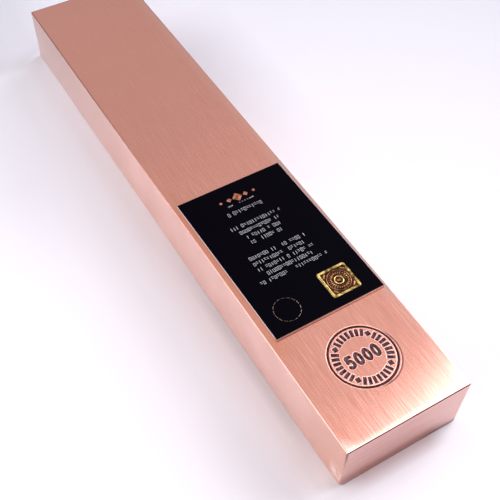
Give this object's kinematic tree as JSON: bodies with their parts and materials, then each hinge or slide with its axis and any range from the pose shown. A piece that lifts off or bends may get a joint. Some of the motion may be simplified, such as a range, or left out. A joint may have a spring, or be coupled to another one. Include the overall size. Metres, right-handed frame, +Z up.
{
  "type": "copper ingot",
  "caption": "Rectangular copper bar with a brushed top face, a struck round mark near one end, and a dark card with a gold foil seal lying on it.",
  "frame": {"origin": "centre of the underside, on the surface that the bar lies on", "axes": "+X along the bar towards the struck mark, +Y across the bar, +Z up"},
  "size_m": [0.31, 0.06, 0.0309],
  "materials": {
    "copper": "copper, brushed along its length on the top face, satin on the sides",
    "card": "blue-black, semi-gloss, with a white cut edge",
    "gold_foil": "embossed gold foil"
  },
  "bodies": {
    "root": {"ingot": "copper", "certificate_card": "card", "seal_sticker": "gold_foil"}
  },
  "joints": []
}
